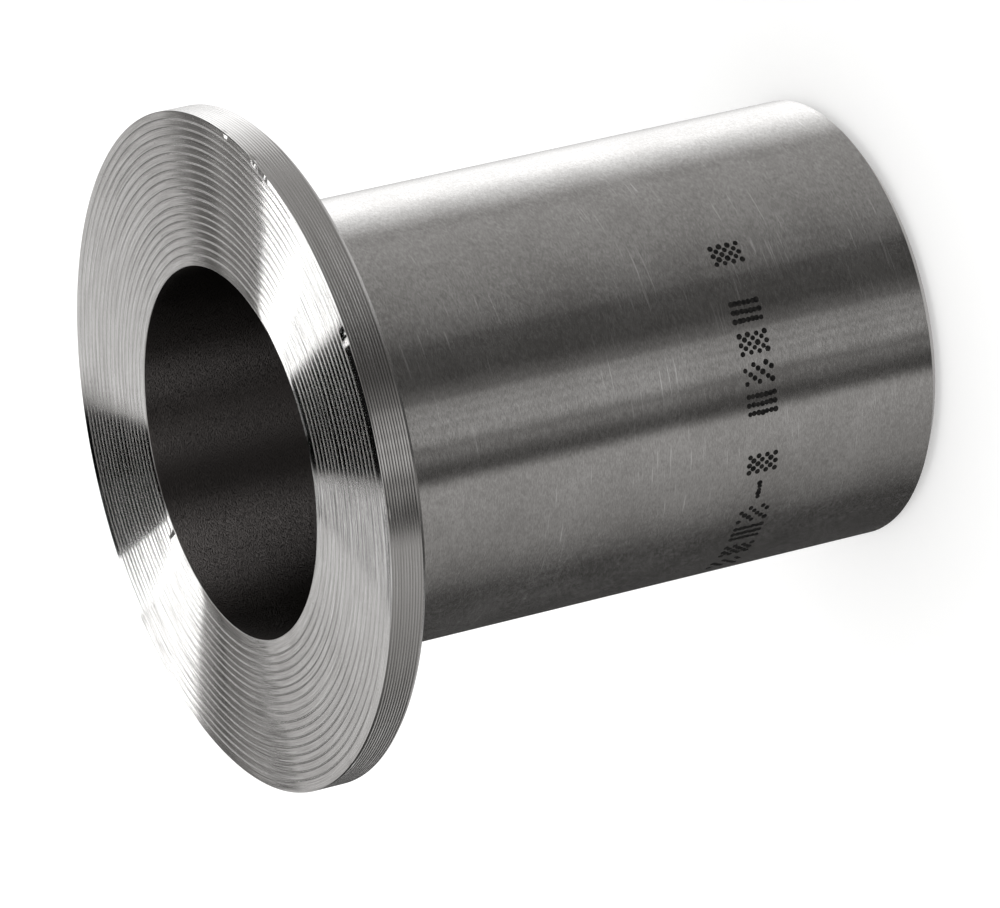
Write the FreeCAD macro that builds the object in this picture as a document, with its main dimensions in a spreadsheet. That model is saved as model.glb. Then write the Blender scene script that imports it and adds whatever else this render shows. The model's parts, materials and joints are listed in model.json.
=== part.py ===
import FreeCAD, Part
import math
import os

import Sketcher

# Stub end for a lap joint flange on one inch pipe: a short, light walled barrel whose end is
# turned out into a flat lap. The lap's face carries the gasket, its back carries the loose
# flange, and the barrel's other end is bevelled for a butt weld.
#
# Frame: the fitting stands on its weld end. The origin is the centre of that end, +Z runs
# along the bore to the lap face, and every section is drawn in the half plane +X, +Z.

# Driving dimensions, in millimetres and degrees
DIMENSIONS = {
    "overall_length": 50.8,
    "pipe_diameter": 33.4,
    "wall": 2.77,
    "lap_diameter": 50.8,
    "lap_thickness": 2.9,
    "back_fillet": 3.0,  # largest radius that a loose flange of this size clears
    "back_edge": 0.34,
    "face_edge": 0.1,
    "mouth_edge": 0.35,
    "weld_land": 1.6,
    "bevel_angle": 37.5,
    "serration_pitch": 0.655,  # feed of the facing tool for each turn
    "serration_count": 15,
    "serration_depth": 0.035,  # from ridge to valley
    "serration_sink": 0.01,  # ridges lie this far under the plain rings beside them
    "serration_start": 29.7,  # diameter of the innermost ridge
}

# Radii and heights that follow from them, for the first draft of each sketch and to find corners
LENGTH = DIMENSIONS["overall_length"]
SHOULDER = LENGTH - DIMENSIONS["lap_thickness"]
LAP = DIMENSIONS["lap_diameter"] / 2
BARREL = DIMENSIONS["pipe_diameter"] / 2
BORE = BARREL - DIMENSIONS["wall"]

START, END = 1, 2  # point numbers on a sketched line
ORIGIN = (-1, START)  # a sketch's own origin
GROUND = -1  # a sketch's horizontal axis
RUN_OUT = 0.5  # height of the facing tool's sweep above the lap face
SAME = 1e-4  # two lengths this close are the same
VOLUME_ERROR = 0.001  # largest share by which a cut may miss its worked out volume


def make_sheet(document):
    """The spreadsheet of driving dimensions, one alias for each."""
    sheet = document.addObject("Spreadsheet::Sheet", "dims")
    for row, (alias, value) in enumerate(DIMENSIONS.items(), start=1):
        sheet.set(f"A{row}", alias)
        sheet.set(f"B{row}", str(value))
        sheet.setAlias(f"B{row}", alias)
    document.recompute()
    return sheet


def half_plane_sketch(body, name):
    """An empty sketch in the body's own XZ plane: sketch x is a radius, sketch y a height."""
    sketch = body.newObject("Sketcher::SketchObject", name)
    plane = next(f for f in body.Origin.OriginFeatures if f.Role == "XZ_Plane")
    sketch.AttachmentSupport = [(plane, "")]
    sketch.MapMode = "FlatFace"
    return sketch


def dimension(sketch, name, constraint, expression):
    """Add a named dimension to the sketch and bind it to the sheet."""
    sketch.renameConstraint(sketch.addConstraint(constraint), name)
    sketch.setExpression(f"Constraints.{name}", expression)


def join(sketch, before, after):
    """Hold the end of one line to the start of the next."""
    sketch.addConstraint(Sketcher.Constraint("Coincident", before, END, after, START))


def add_lines(sketch, points):
    """Straight lines from point to point, each end held to the next start."""
    corners = [FreeCAD.Vector(radius, height, 0) for radius, height in points]
    lines = [sketch.addGeometry(Part.LineSegment(a, b), False) for a, b in zip(corners, corners[1:])]
    for before, after in zip(lines, lines[1:]):
        join(sketch, before, after)
    return lines


def turned_blank(body):
    """Barrel and lap in one revolved section with square corners."""
    sketch = half_plane_sketch(body, "blank_section")
    low = [(BORE, 0), (BARREL, 0), (BARREL, SHOULDER)]
    high = [(LAP, SHOULDER), (LAP, LENGTH), (BORE, LENGTH)]
    weld_end, outside, back, rim, face, inside = add_lines(sketch, [*low, *high, low[0]])
    join(sketch, inside, weld_end)
    for line in (weld_end, back, face):
        sketch.addConstraint(Sketcher.Constraint("Horizontal", line))
    for line in (outside, rim, inside):
        sketch.addConstraint(Sketcher.Constraint("Vertical", line))
    sketch.addConstraint(Sketcher.Constraint("PointOnObject", weld_end, START, GROUND))
    radii = {
        "bore_radius": (weld_end, BORE, "dims.pipe_diameter / 2 - dims.wall"),
        "barrel_radius": (outside, BARREL, "dims.pipe_diameter / 2"),
        "lap_radius": (rim, LAP, "dims.lap_diameter / 2"),
    }
    for name, (line, radius, expression) in radii.items():
        constraint = Sketcher.Constraint("DistanceX", *ORIGIN, line, START, radius)
        dimension(sketch, name, constraint, expression)
    heights = {
        "shoulder_height": (back, SHOULDER, "dims.overall_length - dims.lap_thickness"),
        "face_height": (face, LENGTH, "dims.overall_length"),
    }
    for name, (line, height, expression) in heights.items():
        constraint = Sketcher.Constraint("DistanceY", *ORIGIN, line, START, height)
        dimension(sketch, name, constraint, expression)

    blank = body.newObject("PartDesign::Revolution", "blank")
    blank.Profile = sketch
    blank.ReferenceAxis = (sketch, ["V_Axis"])
    blank.Angle = 360
    return blank


def corner(feature, radius, height):
    """The feature and the name of its one circular edge at this radius and height."""
    feature.Document.recompute()
    names = [
        f"Edge{number}"
        for number, edge in enumerate(feature.Shape.Edges, start=1)
        if isinstance(edge.Curve, Part.Circle)
        and abs(edge.Curve.Radius - radius) < SAME
        and abs(edge.Curve.Center.z - height) < SAME
    ]
    if len(names) != 1:
        raise ValueError(f"{feature.Name}: {len(names)} edges at radius {radius}, height {height}")
    return feature, names


def round_corner(body, name, base, expression):
    """Fillet one corner with a radius from the sheet."""
    fillet = body.newObject("PartDesign::Fillet", name)
    fillet.Base = base
    fillet.setExpression("Radius", expression)
    return fillet


def break_corner(body, name, base, expression):
    """Chamfer one corner at 45 degrees with a width from the sheet."""
    chamfer = body.newObject("PartDesign::Chamfer", name)
    chamfer.Base = base
    chamfer.setExpression("Size", expression)
    return chamfer


def weld_bevel(body, base):
    """Chamfer the barrel's end at the welding angle, down to the land that is left square."""
    radial = "(dims.wall - dims.weld_land)"
    bevel = body.newObject("PartDesign::Chamfer", "weld_bevel")
    bevel.Base = base
    bevel.ChamferType = "Two distances"
    bevel.setExpression("Size", f"{radial} * tan(dims.bevel_angle)")
    bevel.setExpression("Size2", radial)
    return bevel


def serrations(body):
    """Rings of shallow grooves in the lap face, each with two equal flanks up to sharp ridges."""
    count = int(DIMENSIONS["serration_count"])
    pitch, depth = DIMENSIONS["serration_pitch"], DIMENSIONS["serration_depth"]
    inner = DIMENSIONS["serration_start"] / 2
    outer = inner + count * pitch
    ridge = LENGTH - DIMENSIONS["serration_sink"]

    sketch = half_plane_sketch(body, "serration_section")
    last = None
    for ring in range(count):
        start = inner + ring * pitch
        fall, rise = add_lines(
            sketch, [(start, ridge), (start + pitch / 2, ridge - depth), (start + pitch, ridge)]
        )
        sketch.addConstraint(Sketcher.Constraint("Equal", fall, rise))
        sketch.addConstraint(Sketcher.Constraint("Horizontal", fall, START, rise, END))
        width = Sketcher.Constraint("DistanceX", fall, START, rise, END, pitch)
        dimension(sketch, f"pitch_{ring + 1}", width, "dims.serration_pitch")
        drop = Sketcher.Constraint("DistanceY", fall, END, fall, START, depth)
        dimension(sketch, f"depth_{ring + 1}", drop, "dims.serration_depth")
        if last is None:
            first = fall
        else:
            join(sketch, last, fall)
        last = rise

    above = LENGTH + RUN_OUT
    outer_side, top, inner_side = add_lines(
        sketch, [(outer, ridge), (outer, above), (inner, above), (inner, ridge)]
    )
    sketch.addConstraint(Sketcher.Constraint("Vertical", outer_side))
    sketch.addConstraint(Sketcher.Constraint("Horizontal", top))
    sketch.addConstraint(Sketcher.Constraint("Vertical", inner_side))
    join(sketch, last, outer_side)
    join(sketch, inner_side, first)
    place = Sketcher.Constraint("DistanceX", *ORIGIN, first, START, inner)
    dimension(sketch, "start_radius", place, "dims.serration_start / 2")
    level = Sketcher.Constraint("DistanceY", *ORIGIN, first, START, ridge)
    dimension(sketch, "ridge_height", level, "dims.overall_length - dims.serration_sink")
    sweep = Sketcher.Constraint("DistanceY", *ORIGIN, top, START, above)
    dimension(sketch, "run_out", sweep, f"dims.overall_length + {RUN_OUT}")

    groove = body.newObject("PartDesign::Groove", "serrations")
    groove.Profile = sketch
    groove.ReferenceAxis = (sketch, ["V_Axis"])
    groove.Angle = 360
    return groove


def serration_volume():
    """Metal that the serrations take away: the section's area on its middle circle."""
    pitch, count = DIMENSIONS["serration_pitch"], DIMENSIONS["serration_count"]
    section = count * pitch * (DIMENSIONS["serration_depth"] / 2 + DIMENSIONS["serration_sink"])
    middle = DIMENSIONS["serration_start"] / 2 + count * pitch / 2
    return 2 * math.pi * middle * section


def make_stub_end(document):
    """The whole fitting: one turned piece."""
    body = document.addObject("PartDesign::Body", "stub_end")
    body.Label = "stub_end"
    body.Placement = FreeCAD.Placement()

    blank = turned_blank(body)
    fillet = round_corner(body, "back_fillet", corner(blank, BARREL, SHOULDER), "dims.back_fillet")
    mouth = break_corner(body, "mouth_edge", corner(fillet, BORE, LENGTH), "dims.mouth_edge")
    back = break_corner(body, "back_edge", corner(mouth, LAP, SHOULDER), "dims.back_edge")
    front = break_corner(body, "face_edge", corner(back, LAP, LENGTH), "dims.face_edge")
    bevel = weld_bevel(body, corner(front, BARREL, 0))
    document.recompute()

    groove = serrations(body)
    body.Tip = groove
    document.recompute()
    removed, wanted = bevel.Shape.Volume - groove.Shape.Volume, serration_volume()
    if abs(removed - wanted) > VOLUME_ERROR * wanted:
        raise ValueError(f"serrations took {removed:.3f} mm3, not {wanted:.3f}")
    return body


def check(document, part):
    """Stop if an object failed, a sketch is loose or the part is not one sound solid."""
    for item in document.Objects:
        if {"Invalid", "Error"} & set(item.State):
            raise ValueError(f"{item.Name} failed: {item.State}")
        if item.isDerivedFrom("Sketcher::SketchObject") and not item.FullyConstrained:
            raise ValueError(f"{item.Name} is not fully constrained")
    if part.Shape.isNull() or not part.Shape.isValid() or len(part.Shape.Solids) != 1:
        raise ValueError(f"{part.Label} is not one valid solid")


def main():
    document = FreeCAD.newDocument("lap_joint_stub_end")
    make_sheet(document)
    part = make_stub_end(document)
    check(document, part)
    os.makedirs("parts", exist_ok=True)
    part.Shape.exportStep(f"parts/{part.Label}.step")
    box = part.Shape.BoundBox
    size = f"{box.XLength:.2f} by {box.YLength:.2f} by {box.ZLength:.2f} mm"
    print(f"{part.Label}: {size}, {part.Shape.Volume:.1f} mm3")


main()
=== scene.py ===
"""Looks of a lap joint stub end: turned steel standing on its weld end in a plain studio."""

import json
import logging
import math
import random
from collections.abc import Iterable
from dataclasses import dataclass
from enum import Enum, IntEnum
from typing import Any, Union

import bpy
from mathutils import Matrix, Vector


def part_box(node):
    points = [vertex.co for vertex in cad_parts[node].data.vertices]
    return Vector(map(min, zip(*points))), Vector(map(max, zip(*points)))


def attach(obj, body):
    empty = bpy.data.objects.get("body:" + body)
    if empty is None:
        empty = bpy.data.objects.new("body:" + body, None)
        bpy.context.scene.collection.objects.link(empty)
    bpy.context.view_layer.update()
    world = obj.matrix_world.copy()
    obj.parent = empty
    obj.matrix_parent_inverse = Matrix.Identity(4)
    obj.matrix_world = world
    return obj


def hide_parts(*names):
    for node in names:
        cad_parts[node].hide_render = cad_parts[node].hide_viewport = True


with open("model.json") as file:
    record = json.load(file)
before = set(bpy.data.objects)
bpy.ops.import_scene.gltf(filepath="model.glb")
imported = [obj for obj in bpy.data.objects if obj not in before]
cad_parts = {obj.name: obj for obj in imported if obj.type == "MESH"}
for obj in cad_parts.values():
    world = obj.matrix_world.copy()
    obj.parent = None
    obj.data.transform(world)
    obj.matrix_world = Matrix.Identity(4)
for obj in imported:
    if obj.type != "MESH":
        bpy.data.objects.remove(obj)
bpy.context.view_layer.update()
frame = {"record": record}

MM = 0.001
NODE = "stub_end"
BODY = "root"
FULL_TURN = 360  # degrees
AHEAD = 0.5  # share of a turn at which a bearing is straight ahead
NOISE_MIDDLE = 0.5
CAMERA_SIDE = -90.0  # degrees, the bearing of the fitting's side nearest the camera
UPWARD = 90.0  # degrees on an arc of the outline, where 0 points away from the axis
INWARD = 180.0

Colour = tuple[float, float, float]
Screen = tuple[float, ...]
Term = Union["Wire", float, tuple[float, float, float]]  # what shader maths takes
Paint = Union[bpy.types.NodeSocket, Colour]  # a colour from a socket, or a plain one

log = logging.getLogger(NODE)


class Zone(IntEnum):
    """The surfaces that a different tool left, in the order of the piece's materials."""

    FACE = 0
    RIDGE = 1
    RIM = 2
    BACK = 3
    BARREL = 4
    WELD = 5
    BORE = 6


class Rings(Enum):
    """Sets of tool marks, each with the offset that tells its noise from the others'."""

    FINE = 0.0
    LEANT = 11.0
    BROAD = 31.0
    SCRATCHES = 67.0


class MixSocket(IntEnum):
    """Sockets of a Mix node that mixes colours, by number because other kinds share the names."""

    FACTOR = 0
    RESULT = 2
    FIRST = 6
    SECOND = 7


class Mark(Enum):
    """Patterns of ink dots, which say nothing: each tells whether a dot is printed at a place."""

    CHECKS = "checks"
    BARS = "bars"
    STEPS = "steps"
    DASH = "dash"

    def printed(self, across: int, along: int) -> bool:
        """Whether this pattern has a dot at a place of its field of dots.

        Args:
            across: the place's number round the barrel.
            along: its number up the barrel.

        Returns:
            True where there is a dot.
        """
        if self is Mark.CHECKS:
            return (across + along) % 2 == 0
        if self is Mark.BARS:
            return across % 2 == 0
        if self is Mark.STEPS:
            return (across - along) % 3 == 0
        return along == InkMarks.dots_along // 2


class Wire:
    """A value or vector in a node tree, so that shader maths reads as plain expressions."""

    def __init__(self, nodes: "Nodes", socket: bpy.types.NodeSocket, vector: bool = False) -> None:
        """Wrap a socket.

        Args:
            nodes: the tree that the socket is in.
            socket: the output to read.
            vector: whether it carries a vector.
        """
        self.nodes = nodes
        self.socket = socket
        self.vector = vector

    def maths(self, operation: str, *terms: Term) -> "Wire":
        """Add one maths node.

        Args:
            operation: the node's operation.
            terms: its inputs in order: wires, numbers, or three numbers for a vector.

        Returns:
            The node's result.
        """
        vector = any(isinstance(t, tuple) or isinstance(t, Wire) and t.vector for t in terms)
        if not vector:
            node = self.nodes.add("ShaderNodeMath", dict(enumerate(terms)), operation=operation)
            return Wire(self.nodes, node.outputs["Value"])
        triples = [(t, t, t) if isinstance(t, (int, float)) else t for t in terms]
        node = self.nodes.add("ShaderNodeVectorMath", dict(enumerate(triples)), operation=operation)
        return Wire(self.nodes, node.outputs["Vector"], vector=True)

    def __add__(self, other: Term) -> "Wire":
        """This plus another."""
        return self.maths("ADD", self, other)

    def __radd__(self, other: Term) -> "Wire":
        """Another plus this."""
        return self.maths("ADD", other, self)

    def __sub__(self, other: Term) -> "Wire":
        """This less another."""
        return self.maths("SUBTRACT", self, other)

    def __rsub__(self, other: Term) -> "Wire":
        """Another less this."""
        return self.maths("SUBTRACT", other, self)

    def __mul__(self, other: Term) -> "Wire":
        """This times another."""
        return self.maths("MULTIPLY", self, other)

    def __rmul__(self, other: Term) -> "Wire":
        """Another times this."""
        return self.maths("MULTIPLY", other, self)

    def __truediv__(self, other: Term) -> "Wire":
        """This over another."""
        return self.maths("DIVIDE", self, other)

    def __rtruediv__(self, other: Term) -> "Wire":
        """Another over this."""
        return self.maths("DIVIDE", other, self)

    def root(self) -> "Wire":
        """The square root."""
        return self.maths("SQRT", self)

    def bearing(self, ahead: "Wire") -> "Wire":
        """Angle of the point (ahead, this) as a share of a turn, 0.5 straight ahead."""
        return self.maths("ARCTAN2", self, ahead) / math.tau + AHEAD

    def smooth(self, low: float, high: float) -> "Wire":
        """Rise smoothly from 0 to 1.

        Args:
            low: the value at which the rise starts.
            high: the value at which it ends.

        Returns:
            The share of the rise.
        """
        node = self.nodes.add(
            "ShaderNodeMapRange",
            {"Value": self, "From Min": low, "From Max": high},
            interpolation_type="SMOOTHSTEP",
        )
        return Wire(self.nodes, node.outputs["Result"])

    def parts(self) -> tuple["Wire", "Wire", "Wire"]:
        """Take a vector apart.

        Returns:
            Its x, y and z.
        """
        node = self.nodes.add("ShaderNodeSeparateXYZ", {"Vector": self})
        x, y, z = (Wire(self.nodes, node.outputs[name]) for name in "XYZ")
        return x, y, z


class Nodes:
    """The node tree of a material or a world, emptied, and filled by one method."""

    def __init__(self, owner: bpy.types.Material | bpy.types.World) -> None:
        """Empty the owner's tree.

        Args:
            owner: the material or world.
        """
        owner.use_nodes = True
        self.tree = owner.node_tree
        self.tree.nodes.clear()

    def add(
        self, kind: str, inputs: dict[Any, Any] | None = None, **settings: Any
    ) -> bpy.types.Node:
        """Add one node.

        Args:
            kind: the node's type.
            inputs: what each socket, by name or number, is set or linked to.
            settings: the node's own properties; stops are a ramp's places and colours.

        Returns:
            The node.
        """
        node = self.tree.nodes.new(kind)
        for name, value in settings.items():
            if name == "stops":
                self.fill_ramp(node.color_ramp, value)
            else:
                setattr(node, name, value)
        for name, value in (inputs or {}).items():
            source = value.socket if isinstance(value, Wire) else value
            if isinstance(source, bpy.types.NodeSocket):
                self.tree.links.new(source, node.inputs[name])
            else:
                node.inputs[name].default_value = source
        return node

    @staticmethod
    def fill_ramp(ramp: bpy.types.ColorRamp, stops: Iterable[tuple[float, Colour]]) -> None:
        """Give a ramp its stops.

        Args:
            ramp: the ramp, new, with its first two stops.
            stops: the places and colours that it gets, in rising order.
        """
        ramp.elements.remove(ramp.elements[1])
        for number, (place, colour) in enumerate(stops):
            element = ramp.elements.new(place) if number else ramp.elements[0]
            element.position = place
            element.color = (*colour, 1.0)

    def read(self, kind: str, output: str, vector: bool = False) -> Wire:
        """An output of a new node that needs no inputs."""
        return Wire(self, self.add(kind).outputs[output], vector)

    def place(self) -> Wire:
        """The point on the object, in metres."""
        return self.read("ShaderNodeTexCoord", "Object", vector=True)

    def vector(self, x: Wire, y: Wire, z: Wire) -> Wire:
        """A vector of three values."""
        node = self.add("ShaderNodeCombineXYZ", {"X": x, "Y": y, "Z": z})
        return Wire(self, node.outputs["Vector"], vector=True)

    def noise(self, where: Wire, detail: float = 2.0) -> Wire:
        """Soft noise about 0.5, with features one unit of where across."""
        node = self.add("ShaderNodeTexNoise", {"Vector": where, "Scale": 1.0, "Detail": detail})
        return Wire(self, node.outputs["Fac"])

    def ramp(self, value: Wire, stops: Iterable[tuple[float, Colour]]) -> bpy.types.NodeSocket:
        """The colour that a ramp gives a value."""
        return self.add("ShaderNodeValToRGB", {"Fac": value}, stops=stops).outputs["Color"]

    def mix(self, factor: Wire, first: Paint, second: Paint) -> bpy.types.NodeSocket:
        """Mix two colours.

        Args:
            factor: the share of the second colour.
            first: a colour, plain or from a socket.
            second: the other colour, likewise.

        Returns:
            The mixed colour.
        """
        first, second = ((*c, 1.0) if isinstance(c, tuple) else c for c in (first, second))
        inputs = {MixSocket.FACTOR: factor, MixSocket.FIRST: first, MixSocket.SECOND: second}
        return self.add("ShaderNodeMix", inputs, data_type="RGBA").outputs[MixSocket.RESULT]

    def surface(self, shader: bpy.types.Node, output: str = "ShaderNodeOutputMaterial") -> None:
        """End the tree in this shader."""
        self.add(output, {"Surface": shader.outputs[0]})


@dataclass(frozen=True)
class SteelFinish:
    """Bare stainless steel with the fine marks of a tool that went round the axis.

    The gloss spreads across the marks and stays narrow along them, and each mark leans a little
    to one side or the other.
    """

    name: str
    light: Colour = (0.66, 0.652, 0.644)
    dark: Colour = (0.56, 0.55, 0.54)
    scratched: Colour = (0.98, 0.975, 0.97)
    speck: Colour = (0.2, 0.19, 0.18)
    roughness: float = 0.2
    roughness_spread: float = 0.05
    anisotropy: float = 1.0
    gloss_turn: float = 0.25  # share of a turn, from along the marks to across them
    lean: float = 0.03  # slope of the finest marks' sides
    lean_pitch: float = 0.01 * MM
    mark_pitch: float = 0.07 * MM
    marks_in_radian: float = 5.0
    mark_detail: float = 3.0
    broad_pitches: float = 5.0  # how much further apart the broad marks are than the fine ones
    broad_length: float = 2.0  # how much longer they are
    patch: float = 6.0 * MM  # width of the cloudy patches
    fine_share: float = 0.5  # of the tone
    broad_share: float = 0.25
    cloud_share: float = 0.25
    tone_edges: tuple[float, float] = (0.35, 0.65)  # levels of noise, as in the edges below
    scratches: float = 0.0
    scratch_pitch: float = 0.17 * MM
    scratches_in_radian: float = 3.5
    scratch_edges: tuple[float, float] = (0.61, 0.7)
    scratched_patches: tuple[float, float] = (0.48, 0.62)
    specks: float = 0.0
    speck_size: float = 0.3 * MM
    speck_edges: tuple[float, float] = (0.72, 0.78)
    marks_in_radius: bool = False  # the marks follow each other along the radius, not the height

    def tool_marks(self, nodes: Nodes, rings: Rings, pitch: float, in_radian: float) -> Wire:
        """Noise drawn out into rings round the axis.

        Args:
            nodes: the material's tree.
            rings: which set of marks they are.
            pitch: the distance from ring to ring.
            in_radian: how many marks follow each other in a radian round the axis.

        Returns:
            The noise, about 0.5.
        """
        x, y, z = nodes.place().parts()
        radius = (x * x + y * y).root()
        along = radius if self.marks_in_radius else z
        turn = in_radian / radius
        where = nodes.vector(x * turn, y * turn, along / pitch + rings.value)
        return nodes.noise(where, self.mark_detail)

    def leant(self, nodes: Nodes) -> Wire:
        """The surface's normal, leant to one side or the other across the finest marks.

        Args:
            nodes: the material's tree.

        Returns:
            The normal.
        """
        marks = self.tool_marks(nodes, Rings.LEANT, self.lean_pitch, self.marks_in_radian)
        normal = nodes.read("ShaderNodeNewGeometry", "Normal", vector=True)
        onward = normal.maths("CROSS_PRODUCT", (0.0, 0.0, 1.0), nodes.place())
        across = normal.maths("CROSS_PRODUCT", onward.maths("NORMALIZE", onward), normal)
        side = marks - NOISE_MIDDLE
        leant = normal + across * (side.maths("SIGN", side) * self.lean)
        return leant.maths("NORMALIZE", leant)

    def make(self) -> bpy.types.Material:
        """Make the material.

        Returns:
            The finished material.
        """
        material = bpy.data.materials.new(self.name)
        nodes = Nodes(material)
        broad_pitch = self.mark_pitch * self.broad_pitches
        broad_in_radian = self.marks_in_radian / self.broad_length
        fine = self.tool_marks(nodes, Rings.FINE, self.mark_pitch, self.marks_in_radian)
        broad = self.tool_marks(nodes, Rings.BROAD, broad_pitch, broad_in_radian)
        cloud = nodes.noise(nodes.place() / self.patch)
        shade = fine * self.fine_share + broad * self.broad_share + cloud * self.cloud_share
        tone = shade.smooth(*self.tone_edges)
        colour = nodes.mix(tone, self.dark, self.light)
        if self.scratches:
            lines = self.tool_marks(
                nodes, Rings.SCRATCHES, self.scratch_pitch, self.scratches_in_radian
            )
            sparse = lines.smooth(*self.scratch_edges) * cloud.smooth(*self.scratched_patches)
            colour = nodes.mix(sparse * self.scratches, colour, self.scratched)
        if self.specks:
            spots = nodes.noise(nodes.place() / self.speck_size).smooth(*self.speck_edges)
            colour = nodes.mix(spots * self.specks, colour, self.speck)
        shader = nodes.add(
            "ShaderNodeBsdfPrincipled",
            {
                "Base Color": colour,
                "Metallic": 1.0,
                "Roughness": self.roughness + (tone - NOISE_MIDDLE) * self.roughness_spread,
                "Anisotropic": self.anisotropy,
                "Anisotropic Rotation": self.gloss_turn,
                "Normal": self.leant(nodes),
            },
        )
        nodes.surface(shader)
        return material


@dataclass(frozen=True)
class InkFinish:
    """Dull black marking ink."""

    name: str = "marking_ink"
    thick: Colour = (0.006, 0.006, 0.006)
    thin: Colour = (0.018, 0.017, 0.016)
    roughness: float = 0.7
    roughness_spread: float = 0.15
    gloss: float = 0.08
    blot: float = 0.25 * MM
    blot_edges: tuple[float, float] = (0.35, 0.65)

    def make(self) -> bpy.types.Material:
        """Make the material.

        Returns:
            The finished material.
        """
        material = bpy.data.materials.new(self.name)
        nodes = Nodes(material)
        blots = nodes.noise(nodes.place() / self.blot).smooth(*self.blot_edges)
        shader = nodes.add(
            "ShaderNodeBsdfPrincipled",
            {
                "Base Color": nodes.mix(blots, self.thick, self.thin),
                "Roughness": self.roughness + blots * self.roughness_spread,
                "Specular IOR Level": self.gloss,
            },
        )
        nodes.surface(shader)
        return material


@dataclass(frozen=True)
class Knot:
    """One ring of the turned outline: its radius, its height, and whether it is a crisp edge."""

    radius: float
    height: float
    crisp: bool = False


@dataclass(frozen=True)
class Nick:
    """A small dent from a knock: where it is, how wide, and how far it goes in and down."""

    bearing: float  # degrees
    radius: float
    height: float
    width: float
    inward: float
    downward: float


class Skin:
    """The points, faces and crisp edges of a mesh while it is put together.

    It takes millimetres and keeps metres. Its columns go round the axis clockwise, seen from
    above, and a point may also lie between two columns.
    """

    def __init__(self, columns: int, first_bearing: float) -> None:
        """Start an empty skin.

        Args:
            columns: how many points go round the axis.
            first_bearing: the angle of the first of them, in radians.
        """
        self.columns = columns
        self.first_bearing = first_bearing
        self.points: list[tuple[float, float, float]] = []
        self.edge_of: list[int] = []
        self.faces: list[list[int]] = []
        self.zones: list[int] = []
        self.edges = 0

    def point(self, radius: float, height: float, column: float, edge: int = 0) -> int:
        """Add one point.

        Args:
            radius: its distance from the axis.
            height: its height.
            column: which of the columns it is in.
            edge: the number of the crisp edge that it is on, or 0.

        Returns:
            The point's number.
        """
        bearing = self.first_bearing - math.tau * column / self.columns
        x = radius * math.cos(bearing) * MM
        y = radius * math.sin(bearing) * MM
        self.points.append((x, y, height * MM))
        self.edge_of.append(edge)
        return len(self.points) - 1

    def new_edge(self) -> int:
        """A number for one more crisp edge."""
        self.edges += 1
        return self.edges

    def ring(self, knot: Knot) -> list[int]:
        """Add a whole ring of points."""
        edge = self.new_edge() if knot.crisp else 0
        return [self.point(knot.radius, knot.height, place, edge) for place in range(self.columns)]

    def face(self, zone: int, corners: list[int]) -> None:
        """Add one face, its corners anticlockwise from outside."""
        self.faces.append(corners)
        self.zones.append(zone)

    def band(self, zone: int, first: list[int], second: list[int]) -> None:
        """Join two rings of points by a band of faces.

        Args:
            zone: the finish of the band.
            first: one ring.
            second: the ring further along the outline.
        """
        for column in range(len(first)):
            after = (column + 1) % len(first)
            self.face(zone, [first[column], first[after], second[after], second[column]])

    def dent(self, nick: Nick) -> None:
        """Push in the points near a nick, most at its middle.

        Args:
            nick: the nick.
        """
        bearing = math.radians(nick.bearing)
        outward = Vector((math.cos(bearing), math.sin(bearing), 0.0))
        middle = (outward * nick.radius + Vector((0.0, 0.0, nick.height))) * MM
        push = (outward * nick.inward + Vector((0.0, 0.0, nick.downward))) * -MM
        width = nick.width * MM
        for number, point in enumerate(self.points):
            if abs(point[0] - middle.x) > width or abs(point[1] - middle.y) > width:
                continue
            gap = (Vector(point) - middle).length / width
            if gap < 1:
                self.points[number] = tuple(Vector(point) + push * (1 - gap * gap))

    def piece(self, name: str, materials: list[bpy.types.Material]) -> bpy.types.Object:
        """Make the object.

        Args:
            name: the piece's name.
            materials: one for each zone, in order.

        Returns:
            The object, in the scene.
        """
        mesh = bpy.data.meshes.new(name)
        mesh.from_pydata(self.points, [], self.faces)
        for material in materials:
            mesh.materials.append(material)
        mesh.polygons.foreach_set("material_index", [int(zone) for zone in self.zones])
        mesh.polygons.foreach_set("use_smooth", [True] * len(mesh.polygons))
        ends = [self.edge_of[point] for edge in mesh.edges for point in edge.vertices]
        crisp = [start == end and start > 0 for start, end in zip(ends[::2], ends[1::2])]
        mesh.edges.foreach_set("use_edge_sharp", crisp)
        mesh.update()
        return add_to_scene(name, mesh)


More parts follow.
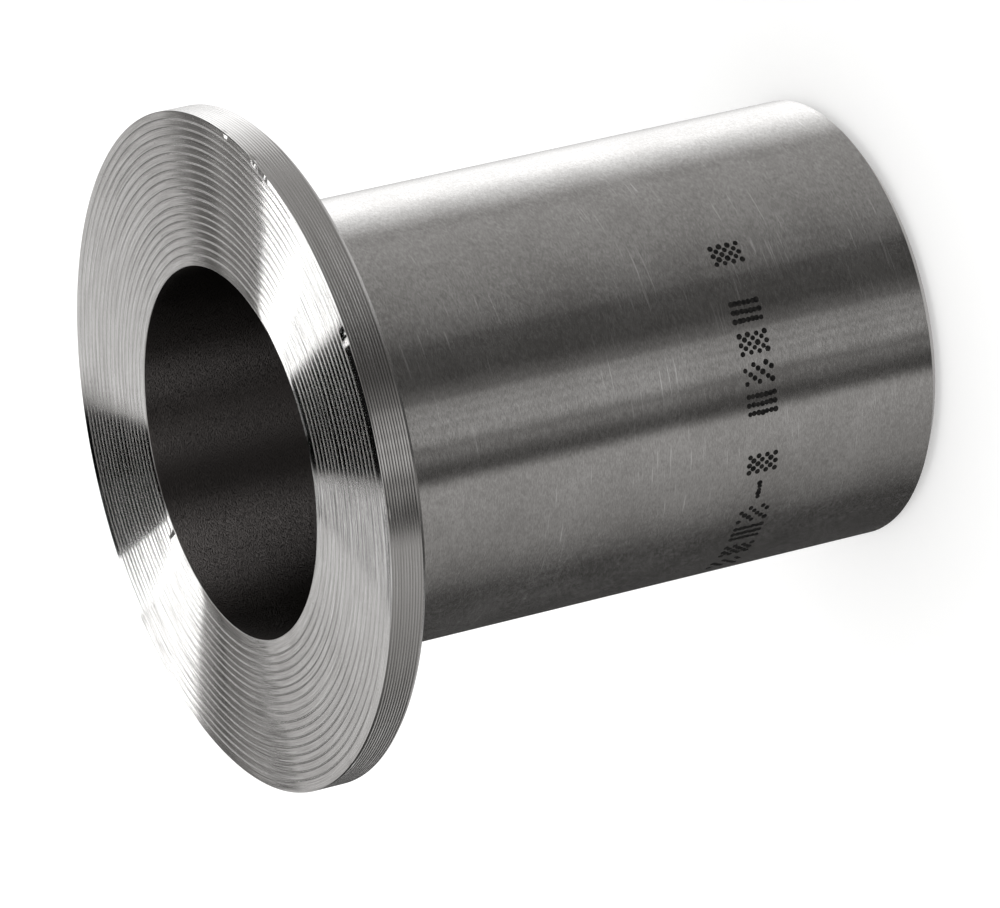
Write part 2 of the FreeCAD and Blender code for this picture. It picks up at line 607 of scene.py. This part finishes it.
@dataclass
class StubEnd:
    """The fitting itself: one turned piece, in millimetres, its main sizes read from the frame."""

    length: float
    lap_radius: float
    barrel_radius: float
    bore_radius: float
    lap_back: float
    columns: int = 480  # points round the axis
    face_edge: float = 0.05  # how far the break of the lap's front edge goes
    back_edge: float = 0.34
    back_fillet: float = 3.0
    fillet_steps: int = 14
    barrel_steps: int = 4
    weld_land: float = 1.6
    bevel_angle: float = 37.5
    bore_rings: tuple[float, ...] = (0.25, 0.5, 0.75)  # shares of the length
    mouth_edge: float = 0.05
    mouth_start: float = 165.0  # degrees, where the rounding of the mouth's edge starts
    mouth_steps: int = 3
    plain_radius: float = 14.38  # out to here round the mouth there is no groove
    groove_start: float = 14.5
    groove_pitch: float = 0.625
    groove_depth: float = 0.002
    groove_turns: int = 15
    groove_bearing: float = 109.0  # degrees, where the tool went in
    groove_exit: float = 0.447  # share of a turn, clockwise from there, to where it came out
    feed_slip: float = 0.18  # how far the tool fell behind its feed half way out
    slip_turn: float = 6.4
    slip_turns: float = 1.6
    ridge_share: float = 0.28  # of the pitch
    ridge_height: float = 0.026
    ridge_section: tuple[tuple[float, float], ...] = (  # shares of its width and of its height
        (0.0, 1.0),
        (0.44, 0.1),
        (0.5, 0.0),
        (0.56, 0.1),
    )
    valley_steps: int = 3
    rim_grooves: int = 11
    rim_groove_depth: float = 0.016
    rim_steps: int = 4
    nicks: tuple[Nick, ...] = (
        Nick(bearing=-38.0, radius=25.4, height=50.76, width=0.32, inward=0.08, downward=0.06),
        Nick(bearing=-28.0, radius=25.4, height=50.72, width=0.3, inward=0.05, downward=0.05),
        Nick(bearing=-42.5, radius=25.15, height=50.76, width=0.45, inward=0.01, downward=0.03),
        Nick(bearing=-76.0, radius=25.2, height=50.76, width=0.35, inward=0.01, downward=0.03),
        Nick(bearing=111.0, radius=14.15, height=50.76, width=0.4, inward=0.0, downward=0.03),
        Nick(bearing=-105.0, radius=25.4, height=50.74, width=0.3, inward=0.04, downward=0.03),
        Nick(bearing=-160.0, radius=25.4, height=50.74, width=0.3, inward=0.04, downward=0.03),
    )

    @classmethod
    def from_frame(cls) -> "StubEnd":
        """Read the main sizes from the CAD node's box and the record's mounts.

        Returns:
            The fitting.
        """
        low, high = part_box(NODE)
        mounts = {mount["name"]: mount for mount in frame["record"]["mounts"]}
        return cls(
            length=(high.z - low.z) / MM,
            lap_radius=(high.x - low.x) / 2 / MM,
            barrel_radius=mounts["barrel"]["dims"]["r_mm"],
            bore_radius=mounts["bore"]["dims"]["r_mm"],
            lap_back=mounts["lap_back"]["pos_m"][2] / MM,
        )

    @property
    def face_height(self) -> float:
        """The height of the lap's face between the ridges of its groove."""
        return self.length - self.ridge_height

    @staticmethod
    def arc(
        centre: tuple[float, float], radius: float, start: float, end: float, steps: int
    ) -> list[Knot]:
        """Knots along a round part of the outline.

        Args:
            centre: the radius and height of the arc's centre.
            radius: the arc's own radius.
            start: its first angle in degrees, 0 pointing away from the axis.
            end: its last angle.
            steps: how many steps it has.

        Returns:
            The knots, both ends among them.
        """
        knots = []
        for step in range(steps + 1):
            angle = math.radians(start + (end - start) * step / steps)
            out = centre[0] + radius * math.cos(angle)
            knots.append(Knot(out, centre[1] + radius * math.sin(angle)))
        return knots

    def rim(self) -> list[Knot]:
        """Go down the rim, with the shallow grooves of the tool's feed.

        Returns:
            The knots, both corners among them.
        """
        top = self.face_height - self.face_edge
        bottom = self.lap_back + self.back_edge
        pitch = (top - bottom) / self.rim_grooves
        knots = []
        for step in range(self.rim_grooves * self.rim_steps + 1):
            across = step % self.rim_steps / self.rim_steps
            depth = self.rim_groove_depth * (1 - (2 * across - 1) ** 2)
            height = top - pitch * step / self.rim_steps
            knots.append(Knot(self.lap_radius - depth, height, crisp=across == 0))
        return knots

    def outline(self) -> list[tuple[Zone, list[Knot]]]:
        """The turned outline from the lap's outer corner round to the mouth of the bore.

        Returns:
            Stretches in order, each with its finish and its knots. A stretch starts where the
            one before it ends.
        """
        land_radius = self.bore_radius + self.weld_land
        bevel_height = (self.barrel_radius - land_radius) * math.tan(math.radians(self.bevel_angle))
        barrel_top = self.lap_back - self.back_fillet
        drop = bevel_height - barrel_top
        barrel = [
            Knot(self.barrel_radius, barrel_top + drop * step / self.barrel_steps)
            for step in range(1, self.barrel_steps)
        ]
        bore = [Knot(self.bore_radius, self.length * share) for share in self.bore_rings]
        fillet_centre = (self.barrel_radius + self.back_fillet, barrel_top)
        fillet = self.arc(fillet_centre, self.back_fillet, UPWARD, INWARD, self.fillet_steps)
        mouth_height = self.face_height - self.mouth_edge
        mouth_centre = (self.bore_radius + self.mouth_edge, mouth_height)
        mouth = self.arc(
            mouth_centre, self.mouth_edge, self.mouth_start, UPWARD, self.mouth_steps
        )
        return [
            (Zone.FACE, [Knot(self.lap_radius - self.face_edge, self.face_height, crisp=True)]),
            (Zone.RIM, self.rim()),
            (Zone.RIM, [Knot(self.lap_radius - self.back_edge, self.lap_back, crisp=True)]),
            (Zone.BACK, fillet),
            (Zone.BARREL, barrel),
            (Zone.BARREL, [Knot(self.barrel_radius, bevel_height, crisp=True)]),
            (Zone.WELD, [Knot(land_radius, 0.0, crisp=True)]),
            (Zone.WELD, [Knot(self.bore_radius, 0.0, crisp=True)]),
            (Zone.BORE, bore),
            (Zone.BORE, [Knot(self.bore_radius, mouth_height, crisp=True)]),
            (Zone.FACE, mouth),
            (Zone.FACE, [Knot(self.plain_radius, self.face_height)]),
        ]

    def groove_section(self) -> list[tuple[float, float, bool]]:
        """Draw the section of one turn, its ridge first and then its valley.

        Returns:
            For each point its share of the pitch, its depth, and whether it is a crisp edge.
        """
        section = []
        for share, depth in self.ridge_section:
            section.append((self.ridge_share * share, self.ridge_height * depth, share == 0))
        for step in range(self.valley_steps):
            share = step / self.valley_steps
            depth = self.ridge_height + self.groove_depth * (1 - (2 * share - 1) ** 2)
            section.append((self.ridge_share + (1 - self.ridge_share) * share, depth, step == 0))
        return section

    def groove_radius(self, turn: float) -> float:
        """How far out the tool was after so many turns."""
        slip = self.feed_slip * math.exp(-(((turn - self.slip_turn) / self.slip_turns) ** 2))
        return self.groove_start + self.groove_pitch * turn - slip

    def spiral(self, skin: Skin, inner: list[int], outer: list[int]) -> None:
        """Cut the gasket face's one spiral groove between two plain rings.

        Args:
            skin: the skin to add to.
            inner: the ring round the mouth.
            outer: the ring at the lap's edge.
        """
        section = self.groove_section()
        steps = len(section)
        last_column = round(skin.columns * self.groove_exit)
        ridge_steps = len(self.ridge_section)
        rows = steps * self.groove_turns + ridge_steps
        crests = [skin.new_edge() if crisp else 0 for _, _, crisp in section]
        grid: dict[tuple[int, int], int] = {}
        for column in range(skin.columns):
            for row in range(rows + (steps if column <= last_column else 0) + 1):
                turn, step = divmod(row, steps)
                share, depth, _ = section[step]
                radius = self.groove_radius(turn + share + column / skin.columns)
                grid[row, column] = skin.point(radius, self.length - depth, column, crests[step])
        for row in range(rows + 1):
            grid[row, skin.columns] = grid[row + steps, 0]
        for column in range(skin.columns):
            for row in range(rows + (steps if column < last_column else 0)):
                zone = Zone.RIDGE if row % steps < ridge_steps else Zone.FACE
                inward = [grid[row, column], grid[row, column + 1]]
                outward = [grid[row + 1, column + 1], grid[row + 1, column]]
                skin.face(zone, inward + outward)
        entry = [grid[row, 0] for row in range(steps + 1)]
        outlet = [grid[row, last_column] for row in range(rows + steps, rows - 1, -1)]
        for column in range(skin.columns):
            after = (column + 1) % skin.columns
            near = entry if after == 0 else [grid[0, after]]
            skin.face(Zone.FACE, [inner[column], inner[after], *near, grid[0, column]])
            edge = rows + (steps if column < last_column else 0)
            far = outlet if column == last_column else [grid[edge, column]]
            skin.face(Zone.FACE, [grid[edge, column + 1], outer[after], outer[column], *far])

    def build(self, materials: list[bpy.types.Material]) -> bpy.types.Object:
        """Build the piece and dress it.

        Args:
            materials: one for each zone, in order.

        Returns:
            The piece.
        """
        skin = Skin(self.columns, math.radians(self.groove_bearing))
        groove_end = self.groove_radius(self.groove_turns + self.ridge_share + 1 + self.groove_exit)
        ring = outer = skin.ring(Knot(groove_end + self.face_edge, self.face_height))
        for zone, knots in self.outline():
            for knot in knots:
                following = skin.ring(knot)
                skin.band(zone, ring, following)
                ring = following
        self.spiral(skin, ring, outer)
        for nick in self.nicks:
            skin.dent(nick)
        return skin.piece("turned_stub_end", materials)


@dataclass
class InkMarks:
    """A row of small dotted marks printed round the barrel, in millimetres."""

    barrel_radius: float
    height: float = 15.4  # of the row's middle
    dot_radius: float = 0.215
    dot_sides: int = 12
    dot_across: float = 0.33  # from dot to dot round the barrel
    dot_along: float = 0.36
    dots_across: int = 5
    dots_along: int = 7
    thickness: float = 0.012
    sunk: float = 0.03
    jitter: float = 0.03
    dot_sizes: tuple[float, float] = (0.85, 1.1)  # least and most, to the dot's own radius
    seed: int = 7
    row: tuple[tuple[float, Mark], ...] = (  # degrees from the camera's side
        (21.2, Mark.CHECKS),
        (5.7, Mark.BARS),
        (-2.5, Mark.CHECKS),
        (-10.2, Mark.STEPS),
        (-18.1, Mark.BARS),
        (-34.5, Mark.CHECKS),
        (-42.8, Mark.DASH),
        (-51.0, Mark.STEPS),
        (-58.5, Mark.BARS),
        (-67.0, Mark.CHECKS),
        (-75.5, Mark.STEPS),
    )

    def dot(self, skin: Skin, bearing: float, height: float, radius: float) -> None:
        """Print one dot, a thin disc bent to the barrel and sunk a little into it.

        Args:
            skin: the skin to add to.
            bearing: its middle, in degrees from the side nearest the camera toward +X.
            height: its middle's height.
            radius: its own radius.
        """
        rings = []
        for level in (self.thickness, -self.sunk):
            edge = skin.new_edge()
            ring = []
            for side in range(self.dot_sides):
                angle = math.tau * side / self.dot_sides
                turned = bearing + math.degrees(radius * math.cos(angle) / self.barrel_radius)
                above = height + radius * math.sin(angle)
                ring.append(skin.point(self.barrel_radius + level, above, -turned, edge))
            rings.append(ring)
        top, bottom = rings
        ink = 0  # the number of the piece's only material
        skin.face(ink, top)
        skin.face(ink, bottom[::-1])
        skin.band(ink, bottom, top)

    def build(self, material: bpy.types.Material) -> bpy.types.Object:
        """Print the whole row.

        Args:
            material: the ink.

        Returns:
            The piece.
        """
        chance = random.Random(self.seed)
        skin = Skin(FULL_TURN, math.radians(CAMERA_SIDE))
        for bearing, mark in self.row:
            for across in range(self.dots_across):
                for along in range(self.dots_along):
                    if not mark.printed(across, along):
                        continue
                    aside = (across - (self.dots_across - 1) / 2) * self.dot_across
                    above = (along - (self.dots_along - 1) / 2) * self.dot_along
                    aside += chance.uniform(-self.jitter, self.jitter)
                    above += chance.uniform(-self.jitter, self.jitter)
                    turned = bearing + math.degrees(aside / self.barrel_radius)
                    radius = self.dot_radius * chance.uniform(*self.dot_sizes)
                    self.dot(skin, turned, self.height + above, radius)
        return skin.piece("ink_marks", [material])


@dataclass(frozen=True)
class Viewpoint:
    """The camera, in millimetres in the frame."""

    place: tuple[float, float, float] = (0.0, -531.08, 283.61)
    aim: tuple[float, float, float] = (-4.562, 0.0, 29.425)
    lens: float = 286.16
    sensor: float = 36.0
    nearest: float = 10.0  # the least and the most distance that it shows
    furthest: float = 20000.0
    lean: float = 103.188  # degrees anticlockwise from the picture's up to the fitting's axis

    def directions(self) -> tuple[Vector, Vector, Vector]:
        """Work out how the camera is turned.

        Returns:
            The picture's right, its up, and the way that the camera looks.
        """
        ahead = (Vector(self.aim) - Vector(self.place)).normalized()
        side = ahead.cross(Vector((0, 0, 1))).normalized()
        rise = side.cross(ahead)
        lean = math.radians(self.lean)
        up = rise * math.cos(lean) + side * math.sin(lean)
        right = side * math.cos(lean) - rise * math.sin(lean)
        return right, up, ahead

    def towards(self, height: float) -> Vector:
        """The way from the point at this height on the fitting's axis to the camera."""
        return (Vector(self.place) - Vector((0, 0, height))).normalized()

    def build(self) -> None:
        """Put the camera in the scene."""
        right, up, ahead = self.directions()
        camera = bpy.data.cameras.new("camera")
        camera.sensor_width = self.sensor
        camera.lens = self.lens
        camera.clip_start = self.nearest * MM
        camera.clip_end = self.furthest * MM
        holder = add_to_scene("camera", camera)
        turn = Matrix((right, up, -ahead)).transposed()
        holder.matrix_world = Matrix.Translation(Vector(self.place) * MM) @ turn.to_4x4()
        bpy.context.scene.camera = holder


@dataclass(frozen=True)
class Studio:
    """A pale floor, and the soft boxes and dark screens that the polished metal mirrors.

    A screen is a bearing in degrees, 0 toward the camera and rising toward +X, and its
    brightness at several levels. Low screens stand round the fitting and show in its upright
    walls: their levels are below, at and above the height that a plain wall mirrors. High screens
    show in the lap's face, where a turned surface gathers light only across its grooves, so they
    are fanned about the direction that a flat mirror there would show: their levels are close to
    that direction and away from it. Deep screens show down in the bore and have one level.
    """

    floor_radius: float = 1500.0
    floor_corners: int = 64
    floor_colour: Colour = (0.88, 0.88, 0.875)
    floor_lift: float = 0.32  # strength of its own glow, which only the camera sees
    brightest: float = 4.0  # the brightness at which a ramp's colour is 1
    low_screens: tuple[Screen, ...] = (
        (-180, 0.7, 0.04, 0.9),
        (-165, 0.7, 0.04, 0.9),
        (-160, 0.05, 0.04, 0.9),
        (-112, 0.05, 0.04, 0.7),
        (-85, 0.22, 0.25, 0.45),
        (-42, 0.34, 0.4, 0.42),
        (-39, 0.05, 0.2, 0.2),
        (-35.5, 0.0, 0.09, 0.08),
        (-30.5, 0.03, 0.11, 0.15),
        (-24, 0.04, 0.25, 0.4),
        (-21, 0.03, 0.22, 0.28),
        (-16.5, 0.05, 0.44, 0.6),
        (-13, 0.05, 0.46, 0.7),
        (-11, 0.05, 0.37, 0.5),
        (-9, 0.06, 0.54, 0.75),
        (-6, 0.04, 0.33, 0.5),
        (-4.5, 0.05, 0.5, 0.65),
        (-2, 0.04, 0.36, 0.5),
        (0.5, 0.04, 0.4, 0.5),
        (3, 0.04, 0.2, 0.28),
        (12, 0.04, 0.08, 0.1),
        (30.5, 0.05, 0.08, 0.1),
        (32.5, 0.08, 0.13, 0.16),
        (60, 0.2, 0.29, 0.34),
        (97, 0.3, 0.43, 0.44),
        (100, 0.2, 0.3, 0.35),
        (106, 0.35, 0.42, 0.5),
        (120, 1.0, 1.0, 1.0),
        (132, 1.3, 1.7, 1.1),
        (152, 0.7, 1.5, 0.2),
        (165, 0.4, 0.9, 0.05),
        (180, 0.7, 0.3, 0.05),
    )
    high_screens: tuple[Screen, ...] = (
        (-161.5, 0.0, 0.02),
        (-160.5, 3.9, 2.0),
        (-148, 3.9, 2.0),
        (-146.5, 0.3, 0.9),
        (-134, 0.25, 0.7),
        (-126, 0.38, 0.6),
        (-117, 0.2, 0.6),
        (-110, 0.22, 0.6),
        (-104, 0.45, 0.4),
        (-96, 0.65, 0.14),
        (-60, 0.9, 0.15),
        (-45, 1.0, 0.5),
        (-16, 1.15, 0.6),
        (-13, 0.7, 0.24),
        (-11, 0.0, 0.24),
        (14.5, 0.0, 0.16),
        (15.5, 0.01, 1.2),
        (19, 0.15, 1.6),
        (20.5, 3.2, 1.8),
        (38.5, 3.2, 1.8),
        (40, 0.3, 0.4),
        (51.5, 0.04, 0.65),
        (54, 0.2, 0.7),
        (68, 0.14, 0.7),
        (71, 0.09, 0.7),
        (83, 0.16, 0.5),
        (87, 0.44, 0.12),
        (115, 0.46, 0.15),
        (130, 0.46, 0.3),
        (160, 0.48, 0.3),
        (162.5, 0.0, 0.02),
    )
    deep_screens: tuple[Screen, ...] = (
        (-60, 0.0),
        (-38, 0.2),
        (-27, 1.0),
        (-17, 0.4),
        (-7, 0.85),
        (2, 0.25),
        (9, 0.25),
        (22, 1.5),
        (37, 1.0),
        (48, 0.3),
        (58, 0.0),
    )
    wall_height: tuple[float, float] = (-0.56, -0.47)  # sines of height
    above_height: tuple[float, float] = (-0.34, -0.25)
    nadir: float = 0.3  # brightness straight below
    nadir_height: tuple[float, float] = (-0.97, -0.93)  # where it gives way to the low screens
    horizon: tuple[float, float] = (-0.05, 0.12)
    fan_split: tuple[float, float] = (0.2, 0.27)  # sines of the tilt of a surface
    deep_split: tuple[float, float] = (0.6, 0.75)
    warmth: float = 0.03  # how much warmer a dark screen is than a bright one

    def stops(self, screens: Iterable[Screen], level: int) -> list[tuple[float, Colour]]:
        """Turn one level of a ring of screens into a ramp.

        Args:
            screens: the screens.
            level: which of their levels, counted from 1.

        Returns:
            The ramp's places and colours.
        """
        made = []
        for screen in screens:
            warm = self.warmth * (1 - min(screen[level], 1.0))
            share = screen[level] / self.brightest
            colour = (share * (1 + warm), share, share * (1 - warm))
            made.append((screen[0] / FULL_TURN + AHEAD, colour))
        return made

    def ring_of_screens(
        self, nodes: Nodes, bearing: Wire, screens: Iterable[Screen], rises: Iterable[Wire]
    ) -> bpy.types.NodeSocket:
        """The colour seen in a ring of screens.

        Args:
            nodes: the world's tree.
            bearing: where round the ring the light comes from, as a share of a turn.
            screens: the screens.
            rises: for each level after the first, 0 before it starts and 1 once it is reached.

        Returns:
            The colour.
        """
        seen = nodes.ramp(bearing, self.stops(screens, 1))
        for level, rise in enumerate(rises, start=2):
            seen = nodes.mix(rise, seen, nodes.ramp(bearing, self.stops(screens, level)))
        return seen

    def light(self, viewpoint: Viewpoint, face_height: float) -> None:
        """Light the scene.

        Args:
            viewpoint: where the camera stands, which the high screens are fanned about.
            face_height: the height of the face that they show in, in millimetres.
        """
        world = bpy.data.worlds.new("studio")
        bpy.context.scene.world = world
        # The world is plain except in reflections, so no part of it needs more samples.
        world.cycles.sampling_method = "NONE"
        nodes = Nodes(world)
        sight = nodes.read("ShaderNodeTexCoord", "Generated", vector=True)
        x, y, z = sight.parts()
        # The normal of a flat mirror that would show this part of the world at the viewpoint.
        half = sight + tuple(viewpoint.towards(face_height))
        half = half.maths("NORMALIZE", half)
        tilt_x, tilt_y, _ = half.parts()
        tilt = (tilt_x * tilt_x + tilt_y * tilt_y).root()
        heights = [z.smooth(*self.wall_height), z.smooth(*self.above_height)]
        low = self.ring_of_screens(nodes, x.bearing(0 - y), self.low_screens, heights)
        fan = tilt_x.bearing(0 - tilt_y)
        high = self.ring_of_screens(nodes, fan, self.high_screens, [tilt.smooth(*self.fan_split)])
        deep = self.ring_of_screens(nodes, fan, self.deep_screens, [])
        high = nodes.mix(tilt.smooth(*self.deep_split), high, deep)
        down = (self.nadir / self.brightest,) * 3
        low = nodes.mix(z.smooth(*self.nadir_height), down, low)
        screens = nodes.mix(z.smooth(*self.horizon), low, high)
        plain = (1 / self.brightest,) * 3
        seen = nodes.mix(nodes.read("ShaderNodeLightPath", "Is Glossy Ray"), plain, screens)
        background = nodes.add("ShaderNodeBackground", {"Color": seen, "Strength": self.brightest})
        nodes.surface(background, output="ShaderNodeOutputWorld")

    def lay_floor(self) -> None:
        """Lay the floor, a plain disc that metal doesn't mirror."""
        mesh = bpy.data.meshes.new("floor")
        radius = self.floor_radius * MM
        bearings = [math.tau * corner / self.floor_corners for corner in range(self.floor_corners)]
        corners = [(radius * math.cos(a), radius * math.sin(a), 0.0) for a in bearings]
        mesh.from_pydata(corners, [], [range(self.floor_corners)])
        material = bpy.data.materials.new("floor_paper")
        nodes = Nodes(material)
        seen = nodes.read("ShaderNodeLightPath", "Is Camera Ray")
        shader = nodes.add(
            "ShaderNodeBsdfPrincipled",
            {
                "Base Color": (*self.floor_colour, 1),
                "Roughness": 1.0,
                "Specular IOR Level": 0.0,
                "Emission Color": nodes.mix(seen, (0, 0, 0), (1, 1, 1)),
                "Emission Strength": self.floor_lift,
            },
        )
        nodes.surface(shader)
        mesh.materials.append(material)
        floor = add_to_scene("floor", mesh)
        floor.visible_glossy = False


def add_to_scene(name: str, data: bpy.types.ID) -> bpy.types.Object:
    """Put a mesh or a camera in the scene.

    Args:
        name: the object's name.
        data: the mesh or the camera.

    Returns:
        The object.
    """
    thing = bpy.data.objects.new(name, data)
    bpy.context.scene.collection.objects.link(thing)
    return thing


def steels() -> list[bpy.types.Material]:
    """Make the steel of each zone.

    Returns:
        The materials, in the order of the zones.
    """
    finishes = {
        Zone.FACE: SteelFinish(
            "faced_steel",
            roughness=0.07,
            roughness_spread=0.015,
            lean=0.15,
            specks=0.7,
            marks_in_radius=True,
        ),
        Zone.RIDGE: SteelFinish(
            "ridge_steel",
            roughness=0.22,
            roughness_spread=0.03,
            anisotropy=0.8,
            lean=0.05,
            marks_in_radius=True,
        ),
        Zone.RIM: SteelFinish("rim_steel", roughness=0.15, roughness_spread=0.03, lean=0.05),
        Zone.BACK: SteelFinish("back_steel", roughness=0.25, marks_in_radius=True),
        Zone.BARREL: SteelFinish(
            "barrel_steel",
            light=(0.72, 0.712, 0.702),
            dark=(0.5, 0.49, 0.48),
            roughness=0.16,
            roughness_spread=0.03,
            marks_in_radian=60.0,
            mark_pitch=0.08 * MM,
            scratches=0.8,
            specks=0.5,
            speck_size=0.2 * MM,
        ),
        Zone.WELD: SteelFinish(
            "weld_end_steel",
            roughness=0.3,
            anisotropy=0.8,
            marks_in_radius=True,
        ),
        Zone.BORE: SteelFinish(
            "bore_steel",
            # Painted shade: these colours are far darker than the other steels', so that the deep,
            # shaded bore renders dark.
            light=(0.12, 0.11, 0.106),
            dark=(0.088, 0.081, 0.078),
            roughness=0.32,
            lean=0.45,
            mark_pitch=0.13 * MM,
            marks_in_radian=70.0,
        ),
    }
    return [finishes[zone].make() for zone in Zone]


def report(piece: bpy.types.Object) -> None:
    """Say what a piece came to."""
    mesh = piece.data
    log.info("%s: %d points, %d faces", piece.name, len(mesh.vertices), len(mesh.polygons))


def main() -> None:
    """Build the fitting, its studio and the camera."""
    logging.basicConfig(level=logging.INFO, format="%(message)s")
    bpy.context.scene.view_settings.view_transform = "Standard"
    fitting = StubEnd.from_frame()
    viewpoint = Viewpoint()
    viewpoint.build()
    studio = Studio()
    studio.light(viewpoint, fitting.length)
    studio.lay_floor()
    turned = fitting.build(steels())
    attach(turned, BODY)
    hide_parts(NODE)
    report(turned)
    ink = InkMarks(fitting.barrel_radius).build(InkFinish().make())
    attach(ink, BODY)
    report(ink)


if __name__ == "__main__":
    main()
